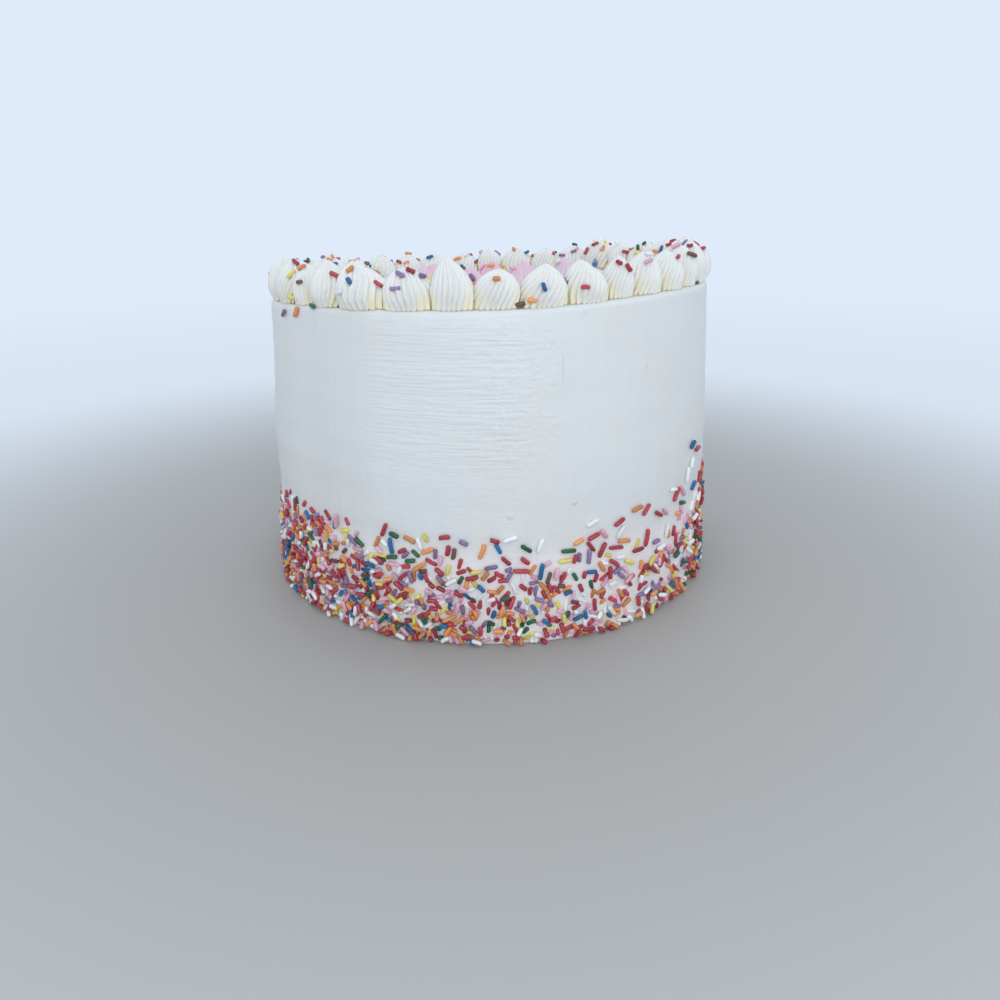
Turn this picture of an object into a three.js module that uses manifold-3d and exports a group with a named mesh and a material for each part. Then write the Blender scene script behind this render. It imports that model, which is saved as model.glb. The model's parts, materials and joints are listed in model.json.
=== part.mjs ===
// A tall round celebration cake in white buttercream, uncut and without its board.
// A band of rod sprinkles clings to the foot of the wall, a ring of piped star swirls stands on
// the rim, and a smaller ring of pink star drops stands inside it.
// Millimetres, +Z up. The origin is the middle of the underside, and -Y is the front.
import * as THREE from "three";
import { mergeVertices } from "three/addons/utils/BufferGeometryUtils.js";
import Module from "manifold-3d";

// The iced cake
const CAKE_RADIUS = 85; // a 6 inch sponge, 76 mm, under about 9 mm of buttercream
const SIDE_HEIGHT = 108.5; // at the middle of the top
const TOP_INSET = 1; // radius lost from the band of sprinkles up to the rim
const FOOT_INSET = 1.8; // radius lost from the top of the band down to the foot
const TOP_SLOPE = 0.033; // the top climbs to the right
const RIM_WAVE = { height: 0.5, count: 4, from: 4 }; // the scraped rim, from in degrees
const RIM_ROUNDING = 1.8;
const RIM_BENDS = [0, 0.5, 1]; // shares of the quarter turn over the rim
const FOOT_CHAMFER = 0.8;
const WALL_SIDES = 60;
const WALL_UNEVEN = 0.35; // how far the scraped wall strays from a true circle
const WALL_WAVES = [ // share of the unevenness, waves once round, start in degrees
  { share: 0.6, count: 3, from: -15 },
  { share: 0.4, count: 5, from: 0 },
];
const WIDEST_AT = 56; // the wall leans in a little above and below this
const TOP_PLAIN = 0.62; // share of the radius inside which the top is a plain fan

// The piped swirls on the rim
const RING_RADIUS = 78.3;
const RING_LEFT = 0.8; // the ring stands off the middle
const RING_STRAY = 0.4;
const SWIRL_COUNT = 36;
const FRONT_FROM = -53.4; // degrees from the front where the first swirl starts
const FRONT_WIDTHS = [8.4, 9.3, 12.2, 11, 9.7, 9.8, 10.5, 10, 7.6, 9.4, 9.3]; // degrees of the ring
const FRONT_HEIGHTS = [13, 14.6, 14.6, 12.4, 15.6, 11.6, 12.4, 13, 12.8, 13.4, 13];
const SWIRL_HEIGHT = 14.3; // round the sides and back
const SWIRL_FALL = { height: 5, towards: -160 }; // lower at the back left, in degrees from the front
const SWIRL_UNEVEN = { width: 0.12, height: 0.11 }; // shares
const FRONT_LEANS = [-1, -1, -4.5, -1.5, -1.8, 0.3, 1.2, -1.8, 0.9, 0.7, 0.4]; // tips, along the rim
const SWIRL_LEAN = 1.4; // how far the other tips hang over
const INWARD_LEAN = 0.3; // share of that by which the front tips hang in or out
const SWIRL_TWIST = 0.5; // turn of the ridges from foot to tip, in radians
const SWIRL_FLUTES = 9;
const FLUTE_DEPTH = 0.13; // share of the radius between a ridge and a groove
const STAR_LEVELS = [ // share of the height, share of the widest radius
  { high: 0, wide: 0.85 },
  { high: 0.35, wide: 1 },
  { high: 0.76, wide: 0.74 },
  { high: 1, wide: 0 },
];

// The small pink star drops inside the ring
const DROP_RING_RADIUS = 32;
const DROP_RING_RIGHT = 6; // the ring stands off the middle
const DROP_RING_STRAY = 1.5;
const DROP_COUNT = 12;
const DROP_FROM = -20; // degrees from the front where the first drop stands
const DROP_RADIUS = 5.2;
const DROP_HEIGHT = 9.6; // at the front of its ring
const DROP_FALL = 0.34; // share of the height lost by the back of the ring
const DROP_UNEVEN = { place: 0.12, width: 0.1, height: 0.15 }; // shares
const DROP_LEAN = 1;
const DROP_TWIST = 0.6;
const DROP_FLUTES = 5;

// The rod sprinkles
const ROD_RADIUS = 0.7;
const ROD_LENGTH = 4.2;
const ROD_UNEVEN = 0.2; // share of the length
const ROD_SIDES = 6;
const ROD_PROUD = 0.3; // how far a rod's axis stands off what it lies on
const ROD_CLEAR = 0.1; // how far the lowest rods stay off the table

// The band of rods on the wall
const BAND_HEIGHT = 36;
const BAND_SWELL = { height: 14, at: 65, narrow: 6 }; // it climbs on the right, at in degrees
const BAND_RAGGED = { height: 2, count: 5 };
const BAND_ROWS = 5; // sites for a rod one above the other on each flat of the wall
const BAND_FILLED = 0.74; // share of the sites that hold a rod in the lowest row
const BAND_THINNING = 0.05; // and how much fewer in each row above
const SITE = { low: 0.4, stagger: 0.5, up: 0.2, across: 0.12 }; // shares of a row or a flat

// Rods that lie at the foot, on the plain top and on the flanks of every second swirl
const FOOT_RODS = { count: 20, out: 1.4, across: 0.1, swing: 0.5 };
const TOP_RODS = { count: 8, radius: 59, stray: 4, across: 0.3 };
const FLANK_RODS = { every: 2, inward: 0.35, swing: 0.6, high: 0.6, stray: 0.12, tilt: 0.9 };

const GAP = 0.3; // between a piped piece and the top
const SWIRL_GAP = 0.35; // on each side of a swirl
const TURN = 2 * Math.PI;
const DEGREE = Math.PI / 180;
const FLAT = TURN / WALL_SIDES;
const WELD = 1e-4; // corners closer than this are one
const FLAT_WITHIN = 0.002; // faces of a joined solid that differ by less are one flat

// The qualities that differ from piece to piece, and where the numbers of each kind of piece start
const QUALITIES = [
  "turn", "across", "up", "heading", "length", "kept", "width", "out", "height", "leanX", "leanY",
  "side", "swing", "high", "tilt",
];
const FIRST = { swirl: 0, band: 0, foot: 400, top: 500, flank: 600, drop: 700 };

const COLOURS = { icing: 0xf2f1ec, piping: 0xf6f3e6, pink: 0xe7bcd6 };
const SATIN = 0.5;
const MOIST = 0.45;

const wasm = await Module();
wasm.setup();

const cake = new THREE.Group();

// A repeatable uneven number from -1 to 1 for one quality of piece number n.
function vary(n, quality) {
  const wide = Math.sin(n * 12.9898 + (QUALITIES.indexOf(quality) + 1) * 78.233) * 43758.5453;
  return 2 * (wide - Math.floor(wide)) - 1;
}

// A direction round the cake: 0 is the front, and a positive angle turns to the right.
function around(angle, radius) {
  return new THREE.Vector2(Math.sin(angle) * radius, -Math.cos(angle) * radius);
}

// Height of the iced top at a point.
function topAt(x, y) {
  const angle = Math.atan2(x, -y);
  const share = Math.hypot(x, y) / CAKE_RADIUS;
  const wave = -RIM_WAVE.height * Math.cos(RIM_WAVE.count * (angle - RIM_WAVE.from * DEGREE));
  return SIDE_HEIGHT + TOP_SLOPE * x + wave * share ** 3;
}

// Radius of the scraped wall at an angle and a height. Below its widest the wall keeps its outline
// and only shrinks, so that its flats stay flat.
function wallRadius(angle, z) {
  const inset = (TOP_INSET * Math.max(0, z - WIDEST_AT)) / (SIDE_HEIGHT - WIDEST_AT);
  const shrunk = 1 - ((FOOT_INSET / CAKE_RADIUS) * Math.max(0, WIDEST_AT - z)) / WIDEST_AT;
  let stray = 0;
  for (const wave of WALL_WAVES) {
    stray += wave.share * Math.sin(wave.count * (angle - wave.from * DEGREE));
  }
  return (CAKE_RADIUS + WALL_UNEVEN * stray) * shrunk - inset;
}

// A closed skin over rows of points, each row with the same count, closed by a middle point at both ends.
function skin(rows, first, last) {
  const count = rows[0].length;
  const points = [first, ...rows.flat(), last];
  const index = [];
  for (let i = 0; i < count; i++) {
    const next = (i + 1) % count;
    index.push(0, 1 + next, 1 + i);
    for (let row = 0; row + 1 < rows.length; row++) {
      const low = 1 + row * count;
      const high = low + count;
      index.push(low + i, low + next, high + next, low + i, high + next, high + i);
    }
    const rim = 1 + (rows.length - 1) * count;
    index.push(rim + i, rim + next, points.length - 1);
  }
  return new THREE.BufferGeometry().setFromPoints(points).setIndex(index);
}

function solid(geometry) {
  const bare = geometry.clone();
  bare.deleteAttribute("normal");
  bare.deleteAttribute("uv");
  const merged = mergeVertices(bare, WELD);
  return new wasm.Manifold(
    new wasm.Mesh({
      numProp: 3,
      vertProperties: merged.attributes.position.array,
      triVerts: new Uint32Array(merged.index.array),
    }),
  );
}

// The outer shell of a joined solid: loose scraps and sealed hollows are dropped.
function geometryOf(joined) {
  const shells = joined.decompose().sort((a, b) => b.volume() - a.volume());
  const mesh = shells[0].simplify(FLAT_WITHIN).getMesh();
  const geometry = new THREE.BufferGeometry();
  geometry.setAttribute("position", new THREE.BufferAttribute(mesh.vertProperties, 3));
  return geometry.setIndex(new THREE.BufferAttribute(mesh.triVerts, 1));
}

function addMesh(name, geometry, colour, roughness) {
  geometry.computeVertexNormals();
  const material = new THREE.MeshStandardMaterial({ color: colour, roughness, metalness: 0 });
  const mesh = new THREE.Mesh(geometry, material);
  mesh.name = name;
  cake.add(mesh);
}

function numbered(kind, i) {
  return `${kind}_${String(i + 1).padStart(2, "0")}`;
}

// Rod number n on a surface: middle on the surface, normal out of it, along in it.
function rod(n, middle, normal, along) {
  const side = new THREE.Vector3().crossVectors(along, normal).normalize();
  const out = new THREE.Vector3().crossVectors(side, along).normalize();
  const place = new THREE.Matrix4().makeBasis(side, along.clone().normalize(), out);
  place.setPosition(middle.clone().addScaledVector(out, ROD_PROUD));
  const geometry = new THREE.CylinderGeometry(ROD_RADIUS, ROD_RADIUS, rodLength(n), ROD_SIDES);
  return solid(geometry.applyMatrix4(place));
}

function rodLength(n) {
  return ROD_LENGTH * (1 + ROD_UNEVEN * vary(n, "length"));
}

// ---- The iced cake with the rods that lie on it ----

// A row of points once round the cake, each placed by a function of its angle.
function ringOf(pointAt) {
  const row = [];
  for (let i = 0; i < WALL_SIDES; i++) row.push(pointAt(i * FLAT));
  return row;
}

function icedCake() {
  const rows = [];
  for (const z of [0, FOOT_CHAMFER, WIDEST_AT]) {
    const inward = z === 0 ? FOOT_CHAMFER : 0;
    rows.push(
      ringOf((angle) => {
        const flat = around(angle, wallRadius(angle, z) - inward);
        return new THREE.Vector3(flat.x, flat.y, z);
      }),
    );
  }
  for (const bend of RIM_BENDS) {
    const inward = RIM_ROUNDING * (1 - Math.cos((bend * Math.PI) / 2));
    const below = RIM_ROUNDING * (1 - Math.sin((bend * Math.PI) / 2));
    rows.push(
      ringOf((angle) => {
        const flat = around(angle, wallRadius(angle, SIDE_HEIGHT) - inward);
        return new THREE.Vector3(flat.x, flat.y, topAt(flat.x, flat.y) - below);
      }),
    );
  }
  rows.push(
    ringOf((angle) => {
      const flat = around(angle, CAKE_RADIUS * TOP_PLAIN);
      return new THREE.Vector3(flat.x, flat.y, topAt(flat.x, flat.y));
    }),
  );
  return skin(rows, new THREE.Vector3(0, 0, 0), new THREE.Vector3(0, 0, topAt(0, 0)));
}

// Height of the ragged upper edge of the band.
function bandTop(angle) {
  const near = Math.max(0, Math.cos(angle - BAND_SWELL.at * DEGREE));
  const ragged = BAND_RAGGED.height * Math.sin(BAND_RAGGED.count * angle);
  return BAND_HEIGHT + BAND_SWELL.height * near ** BAND_SWELL.narrow + ragged;
}

// The two upright edges of a flat of the wall, at a height.
function flatEdges(side, z) {
  return [side * FLAT, (side + 1) * FLAT].map((angle) => {
    const flat = around(angle, wallRadius(angle, z));
    return new THREE.Vector3(flat.x, flat.y, z);
  });
}

// Rod number n on one flat of the wall, in the given row of the band.
function wallRod(n, side, row) {
  const turn = Math.PI * vary(n, "turn");
  const lowest = ROD_RADIUS + ROD_CLEAR + (rodLength(n) / 2) * Math.abs(Math.sin(turn));
  const middle = (side + 0.5) * FLAT;
  const share = (row + SITE.low + SITE.stagger * (side % 2) + SITE.up * vary(n, "up")) / BAND_ROWS;
  const z = Math.max(lowest, share * bandTop(middle));
  const [left, right] = flatEdges(side, z);
  const level = right.clone().sub(left).normalize();
  const upward = left.clone().sub(flatEdges(side, 0)[0]);
  const normal = new THREE.Vector3().crossVectors(level, upward).normalize();
  const climb = new THREE.Vector3().crossVectors(normal, level);
  const along = level.multiplyScalar(Math.cos(turn)).addScaledVector(climb, Math.sin(turn));
  return rod(n, left.lerp(right, 0.5 + SITE.across * vary(n, "across")), normal, along);
}

// The band, with fewer rods in its upper rows.
function bandRods() {
  const rods = [];
  for (let side = 0; side < WALL_SIDES; side++) {
    for (let row = 0; row < BAND_ROWS; row++) {
      const n = FIRST.band + side * BAND_ROWS + row;
      const filled = BAND_FILLED - BAND_THINNING * row;
      if (0.5 + 0.5 * vary(n, "kept") < filled) rods.push(wallRod(n, side, row));
    }
  }
  return rods;
}

// Rods that fell at the foot and lie flat there, each with one end in the wall.
function footRods() {
  const rods = [];
  for (let i = 0; i < FOOT_RODS.count; i++) {
    const n = FIRST.foot + i;
    const side = Math.floor((i * WALL_SIDES) / FOOT_RODS.count);
    const angle = (side + 0.5 + FOOT_RODS.across * vary(n, "across")) * FLAT;
    const heading = angle + FOOT_RODS.swing * vary(n, "heading");
    const flat = around(angle, wallRadius(angle, FOOT_CHAMFER) + FOOT_RODS.out);
    const along = new THREE.Vector3(Math.sin(heading), -Math.cos(heading), 0);
    const middle = new THREE.Vector3(flat.x, flat.y, ROD_RADIUS + ROD_CLEAR - ROD_PROUD);
    rods.push(rod(n, middle, new THREE.Vector3(0, 0, 1), along));
  }
  return rods;
}

function topRods() {
  const rods = [];
  const normal = new THREE.Vector3(-TOP_SLOPE, 0, 1).normalize();
  for (let i = 0; i < TOP_RODS.count; i++) {
    const n = FIRST.top + i;
    const angle = ((i + 0.5 + TOP_RODS.across * vary(n, "across")) / TOP_RODS.count) * TURN;
    const flat = around(angle, TOP_RODS.radius + TOP_RODS.stray * vary(n, "out"));
    const heading = Math.PI * vary(n, "turn");
    const along = new THREE.Vector3(Math.cos(heading), Math.sin(heading), TOP_SLOPE * Math.cos(heading));
    rods.push(rod(n, new THREE.Vector3(flat.x, flat.y, topAt(flat.x, flat.y)), normal, along));
  }
  return rods;
}

const covered = wasm.Manifold.union([solid(icedCake()), ...bandRods(), ...footRods(), ...topRods()]);
addMesh("cake_body", geometryOf(covered), COLOURS.icing, SATIN);

// ---- Piped stars: the swirls on the rim and the pink drops ----

// A piped star that stands at the origin: ridges and grooves that turn a little as they climb,
// and a top that leans over.
function pipedStar(radius, height, flutes, twist, lean) {
  const rows = STAR_LEVELS.slice(0, -1).map(({ high, wide }) => {
    const row = [];
    for (let i = 0; i < 2 * flutes; i++) {
      const angle = (i / (2 * flutes)) * TURN + twist * high;
      const reach = radius * wide * (i % 2 ? 1 - FLUTE_DEPTH : 1);
      const x = Math.cos(angle) * reach + lean.x * high ** 2;
      const y = Math.sin(angle) * reach + lean.y * high ** 2;
      row.push(new THREE.Vector3(x, y, high * height));
    }
    return row;
  });
  return skin(rows, new THREE.Vector3(0, 0, 0), new THREE.Vector3(lean.x, lean.y, height));
}

// Sets a shape down on the iced top at a place, foot parallel to the top.
function setDown(geometry, place) {
  const position = geometry.attributes.position;
  for (let i = 0; i < position.count; i++) {
    const x = position.getX(i) + place.x;
    const y = position.getY(i) + place.y;
    position.setXYZ(i, x, y, position.getZ(i) + topAt(x, y) + GAP);
  }
  return geometry;
}

// Middle angle and width of each swirl, in degrees, once round from the first one.
function swirlSpans() {
  const rest = SWIRL_COUNT - FRONT_WIDTHS.length;
  const free = 360 - FRONT_WIDTHS.reduce((sum, width) => sum + width, 0);
  const loose = Array.from({ length: rest }, (_, i) => 1 + SWIRL_UNEVEN.width * vary(i, "width"));
  const total = loose.reduce((sum, width) => sum + width, 0);
  const widths = [...FRONT_WIDTHS, ...loose.map((width) => (width / total) * free)];
  let start = FRONT_FROM;
  return widths.map((width) => {
    const middle = start + width / 2;
    start += width;
    return { middle, width };
  });
}

// Rod number n on the flank of a swirl, on its outer or inner side and away from its neighbours.
function flankRod(n, place, angle, radius, height, lean) {
  const facing = 0.5 + 0.5 * vary(n, "side") < FLANK_RODS.inward ? Math.PI : 0;
  const side = angle + facing + FLANK_RODS.swing * vary(n, "swing");
  const high = FLANK_RODS.high + FLANK_RODS.stray * vary(n, "high");
  const upper = STAR_LEVELS.findIndex((level) => level.high > high);
  const [below, above] = [STAR_LEVELS[upper - 1], STAR_LEVELS[upper]];
  const share = (high - below.high) / (above.high - below.high);
  const wide = below.wide + share * (above.wide - below.wide);
  const flat = around(side, radius * wide * (1 - FLUTE_DEPTH / 2));
  const x = place.x + flat.x + lean.x * high ** 2;
  const y = place.y + flat.y + lean.y * high ** 2;
  const middle = new THREE.Vector3(x, y, topAt(x, y) + GAP + high * height);
  const rise = (above.high - below.high) * height;
  const inward = (below.wide - above.wide) * radius;
  const normal = new THREE.Vector3(Math.sin(side) * rise, -Math.cos(side) * rise, inward).normalize();
  const level = new THREE.Vector3(Math.cos(side), Math.sin(side), 0);
  const climb = new THREE.Vector3().crossVectors(level, normal);
  const turn = FLANK_RODS.tilt * vary(n, "tilt");
  const along = level.multiplyScalar(Math.cos(turn)).addScaledVector(climb, Math.sin(turn));
  return rod(n, middle, normal, along);
}

function leanOf(n, reach) {
  return new THREE.Vector2(reach * vary(n, "leanX"), reach * vary(n, "leanY"));
}

// Height of swirl number n, round the sides and back, at an angle in degrees.
function swirlHeight(n, angle) {
  const fall = Math.max(0, Math.cos((angle - SWIRL_FALL.towards) * DEGREE));
  const uneven = 1 + SWIRL_UNEVEN.height * vary(n, "height");
  return (SWIRL_HEIGHT - SWIRL_FALL.height * fall) * uneven;
}

// A front tip leans along the rim, and a little in or out.
function frontLean(i, angle) {
  const out = around(angle, INWARD_LEAN * SWIRL_LEAN * vary(FIRST.swirl + i, "leanY"));
  return new THREE.Vector2(Math.cos(angle), Math.sin(angle)).multiplyScalar(FRONT_LEANS[i]).add(out);
}

swirlSpans().forEach(({ middle, width }, i) => {
  const n = FIRST.swirl + i;
  const angle = middle * DEGREE;
  const place = around(angle, RING_RADIUS + RING_STRAY * vary(n, "out"));
  place.x -= RING_LEFT;
  const radius = (RING_RADIUS * width * DEGREE) / 2 - SWIRL_GAP;
  const height = FRONT_HEIGHTS[i] || swirlHeight(n, middle);
  const lean = i < FRONT_LEANS.length ? frontLean(i, angle) : leanOf(n, SWIRL_LEAN);
  let swirl = solid(setDown(pipedStar(radius, height, SWIRL_FLUTES, SWIRL_TWIST, lean), place));
  if (i % FLANK_RODS.every === 0) {
    swirl = swirl.add(flankRod(FIRST.flank + i, place, angle, radius, height, lean));
  }
  addMesh(numbered("swirl", i), geometryOf(swirl), COLOURS.piping, MOIST);
});

for (let i = 0; i < DROP_COUNT; i++) {
  const n = FIRST.drop + i;
  const angle = DROP_FROM * DEGREE + ((i + DROP_UNEVEN.place * vary(n, "across")) / DROP_COUNT) * TURN;
  const place = around(angle, DROP_RING_RADIUS + DROP_RING_STRAY * vary(n, "out"));
  place.x += DROP_RING_RIGHT;
  const radius = DROP_RADIUS * (1 + DROP_UNEVEN.width * vary(n, "width"));
  const back = (1 - Math.cos(angle)) / 2;
  const height = DROP_HEIGHT * (1 - DROP_FALL * back) * (1 + DROP_UNEVEN.height * vary(n, "height"));
  const drop = setDown(pipedStar(radius, height, DROP_FLUTES, DROP_TWIST, leanOf(n, DROP_LEAN)), place);
  addMesh(numbered("pink_drop", i), drop, COLOURS.pink, MOIST);
}

export default cake;
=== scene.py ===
import json
import math
import random

import bmesh
import bpy
import numpy as np
from bpy.props import FloatProperty, FloatVectorProperty, IntProperty, PointerProperty
from mathutils import Matrix, Vector
from mathutils.bvhtree import BVHTree

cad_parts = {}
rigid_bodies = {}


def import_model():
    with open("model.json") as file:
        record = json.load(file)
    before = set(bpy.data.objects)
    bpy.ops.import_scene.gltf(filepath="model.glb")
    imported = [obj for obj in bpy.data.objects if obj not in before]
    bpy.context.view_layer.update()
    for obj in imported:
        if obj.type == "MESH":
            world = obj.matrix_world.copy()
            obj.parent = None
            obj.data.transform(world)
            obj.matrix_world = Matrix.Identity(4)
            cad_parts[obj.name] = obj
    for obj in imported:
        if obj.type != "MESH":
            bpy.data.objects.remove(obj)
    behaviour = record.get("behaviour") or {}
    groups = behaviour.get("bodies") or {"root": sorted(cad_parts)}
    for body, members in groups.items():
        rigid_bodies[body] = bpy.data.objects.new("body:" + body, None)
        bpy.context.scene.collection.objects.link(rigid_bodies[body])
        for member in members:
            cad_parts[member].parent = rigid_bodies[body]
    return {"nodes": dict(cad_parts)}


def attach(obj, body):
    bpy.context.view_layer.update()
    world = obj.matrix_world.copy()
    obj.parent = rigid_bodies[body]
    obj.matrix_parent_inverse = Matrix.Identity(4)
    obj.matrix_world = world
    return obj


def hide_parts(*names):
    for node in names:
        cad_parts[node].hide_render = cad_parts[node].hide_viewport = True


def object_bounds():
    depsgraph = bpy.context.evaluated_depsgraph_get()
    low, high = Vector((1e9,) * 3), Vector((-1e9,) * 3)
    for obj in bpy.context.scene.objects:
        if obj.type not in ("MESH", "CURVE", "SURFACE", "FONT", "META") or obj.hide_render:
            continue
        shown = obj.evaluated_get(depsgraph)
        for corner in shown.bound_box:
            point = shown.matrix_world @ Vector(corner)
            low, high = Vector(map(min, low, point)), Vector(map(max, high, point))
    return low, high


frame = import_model()
SOLID_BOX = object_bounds()

bl_info = {
    "name": "Birthday cake with sprinkles",
    "version": (1, 0, 0),
    "blender": (4, 5, 0),
    "location": "3D View > Sidebar > Cake",
    "description": "Ices the cake, pipes its swirls and drops, and strews the rod sprinkles",
    "category": "Object",
}

MM = 0.001
TURN = 2 * math.pi
UP = Vector((0, 0, 1))

# ---- The shape of the solid cake that the icing keeps ----

CAKE_RADIUS = 85 * MM
SIDE_HEIGHT = 108.5 * MM  # at the middle of the top
TOP_INSET = 1 * MM  # radius lost from the widest height up to the rim
TOP_SLOPE = 0.033  # the top climbs to the right
RIM_WAVE, RIM_WAVES, RIM_WAVE_FROM = 0.5 * MM, 4, math.radians(4)
FOOT_CHAMFER = 0.8 * MM
FOOT_INSET = 1.8 * MM  # radius lost from the widest height down to the foot
WALL_UNEVEN = 0.35 * MM
WALL_WAVES = ((0.6, 3, math.radians(-15)), (0.4, 5, 0.0))  # share, waves once round, start
WIDEST_AT = 56 * MM  # the wall leans in a little above and below this
RIM_ROUNDING = 1.8 * MM
FOOT_WIDE = 0.85  # a piped star's foot as a share of its widest radius
STAR_GAP = 0.3 * MM  # the solid stars stand this far off the top


def direction(angle):
    """The way out of the cake at an angle: 0 is the front, and a positive angle turns right."""
    return Vector((math.sin(angle), -math.cos(angle), 0))


def top_at(x, y):
    """Height of the iced top at a point. Takes numbers or arrays."""
    angle = np.arctan2(x, -y)
    share = np.hypot(x, y) / CAKE_RADIUS
    wave = -RIM_WAVE * np.cos(RIM_WAVES * (angle - RIM_WAVE_FROM))
    return SIDE_HEIGHT + TOP_SLOPE * x + wave * share**3


def lean_in(z):
    """How far up the leaning part of the wall a height is, from 0 to 1."""
    return np.clip((z - WIDEST_AT) / (SIDE_HEIGHT - WIDEST_AT), 0, None)


def wall_radius(angle, z):
    """Radius of the scraped wall at an angle and a height. Takes numbers or arrays."""
    stray = sum(share * np.sin(count * (angle - start)) for share, count, start in WALL_WAVES)
    shrunk = 1 - FOOT_INSET / CAKE_RADIUS * np.clip(1 - z / WIDEST_AT, 0, None)
    return (CAKE_RADIUS + WALL_UNEVEN * stray) * shrunk - TOP_INSET * lean_in(z)


def rim_drop(reach):
    """How far the rounded rim falls below the top, at a distance from the middle."""
    over = np.clip((reach - (CAKE_RADIUS - TOP_INSET - RIM_ROUNDING)) / RIM_ROUNDING, 0, 0.97)
    return RIM_ROUNDING * (1 - np.sqrt(1 - over**2))


# ---- What a user would change ----


def length_of(name, description, default):
    return FloatProperty(name=name, description=description, default=default, unit="LENGTH", precision=4)


def share_of(name, description, default):
    return FloatProperty(name=name, description=description, default=default, min=0, max=1)


def colour_of(name, description, default):
    return FloatVectorProperty(
        name=name, description=description, default=default, subtype="COLOR", size=3, min=0, max=1
    )


def count_of(name, description, default):
    return IntProperty(name=name, description=description, default=default, min=0)


class CakeIcing(bpy.types.PropertyGroup):
    radius: length_of("Radius", "Radius of the iced cake where it is widest", CAKE_RADIUS)
    height: length_of("Height", "Height of the wall at the middle of the top", SIDE_HEIGHT)
    rim: length_of("Rim rounding", "Radius of the soft edge between wall and top", RIM_ROUNDING)
    ridge: length_of("Scraper ridges", "Depth of the fine level ridges that the scraper left", 0.16 * MM)
    colour: colour_of("Icing", "Colour of the scraped buttercream", (0.815, 0.818, 0.797))
    warm: colour_of("Warm icing", "Colour of the creamier patches", (0.83, 0.81, 0.765))


class CakeSwirls(bpy.types.PropertyGroup):
    flutes: count_of("Ridges", "Ridges round one swirl", 20)
    groove: share_of("Groove depth", "Depth of a groove as a share of the radius", 0.26)
    wider: length_of("Wider", "How much wider than its solid a swirl is, to touch its neighbours", 0.4 * MM)
    seed: count_of("Seed", "Start of the random draws", 4)
    colour: colour_of("Swirl", "Colour of the piped buttercream", (0.87, 0.855, 0.815))
    # the crevice colour is a painted warm shade, at the foot, deep in the grooves and between the swirls
    crevice_shade: colour_of("Crevice", "Creamier colour at the foot and deep in the grooves", (0.96, 0.86, 0.6))


class CakeDrops(bpy.types.PropertyGroup):
    points: count_of("Points", "Points of the star nozzle", 9)
    groove: share_of("Groove depth", "Depth of a groove as a share of the radius", 0.34)
    seed: count_of("Seed", "Start of the random draws", 5)
    pink: colour_of("Pink", "Colour of most of the drops", (0.87, 0.6, 0.7))
    lilac: colour_of("Lilac", "Colour that some drops lean to", (0.77, 0.61, 0.74))


class CakeSprinkles(bpy.types.PropertyGroup):
    thickness: length_of("Thickness", "Thickness of a rod sprinkle", 1.48 * MM)
    length: length_of("Length", "Mean length of a rod sprinkle", 3.5 * MM)
    band: share_of("Band", "How thickly sprinkles cover the foot of the wall", 1.0)
    foot: count_of("Foot", "Sprinkles lying at the foot", 420)
    ring: count_of("Ring", "Sprinkles strewn over the swirls and the top", 230)
    seed: count_of("Seed", "Start of the random draws", 11)


class CakeStage(bpy.types.PropertyGroup):
    # the floor's grey by the cake is partly a painted shadow of the cake
    floor: colour_of("Floor", "Colour of the floor by the cake", (0.47, 0.445, 0.41))
    backdrop: colour_of("Backdrop", "Colour of the air and of the far floor", (0.735, 0.83, 0.955))
    front_light: FloatProperty(name="Front light", description="Power of the front light", default=2.1)
    top_light: FloatProperty(name="Top light", description="Power of the light above", default=0.5)


# ---- Finishes ----


class Value:
    """A shader socket. A sum on it adds the Math node that works it out over the surface."""

    def __init__(self, finish, socket):
        self.finish = finish
        self.socket = socket

    def math(self, operation, *values):
        return self.finish.node("Math", {"operation": operation}, dict(enumerate(values)))

    def __add__(self, other):
        return self.math("ADD", self, other)

    def __sub__(self, other):
        return self.math("SUBTRACT", self, other)

    def __rsub__(self, other):
        return self.math("SUBTRACT", other, self)

    def __mul__(self, other):
        return self.math("MULTIPLY", self, other)

    __radd__ = __add__
    __rmul__ = __mul__

    def larger(self, other):
        return self.math("MAXIMUM", self, other)

    def between(self, low, high):
        """0 below low, 1 above high, and a smooth step between them."""
        values = {"Value": self, "From Min": low, "From Max": high}
        return self.finish.node("MapRange", {"interpolation_type": "SMOOTHSTEP"}, values)


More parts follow.
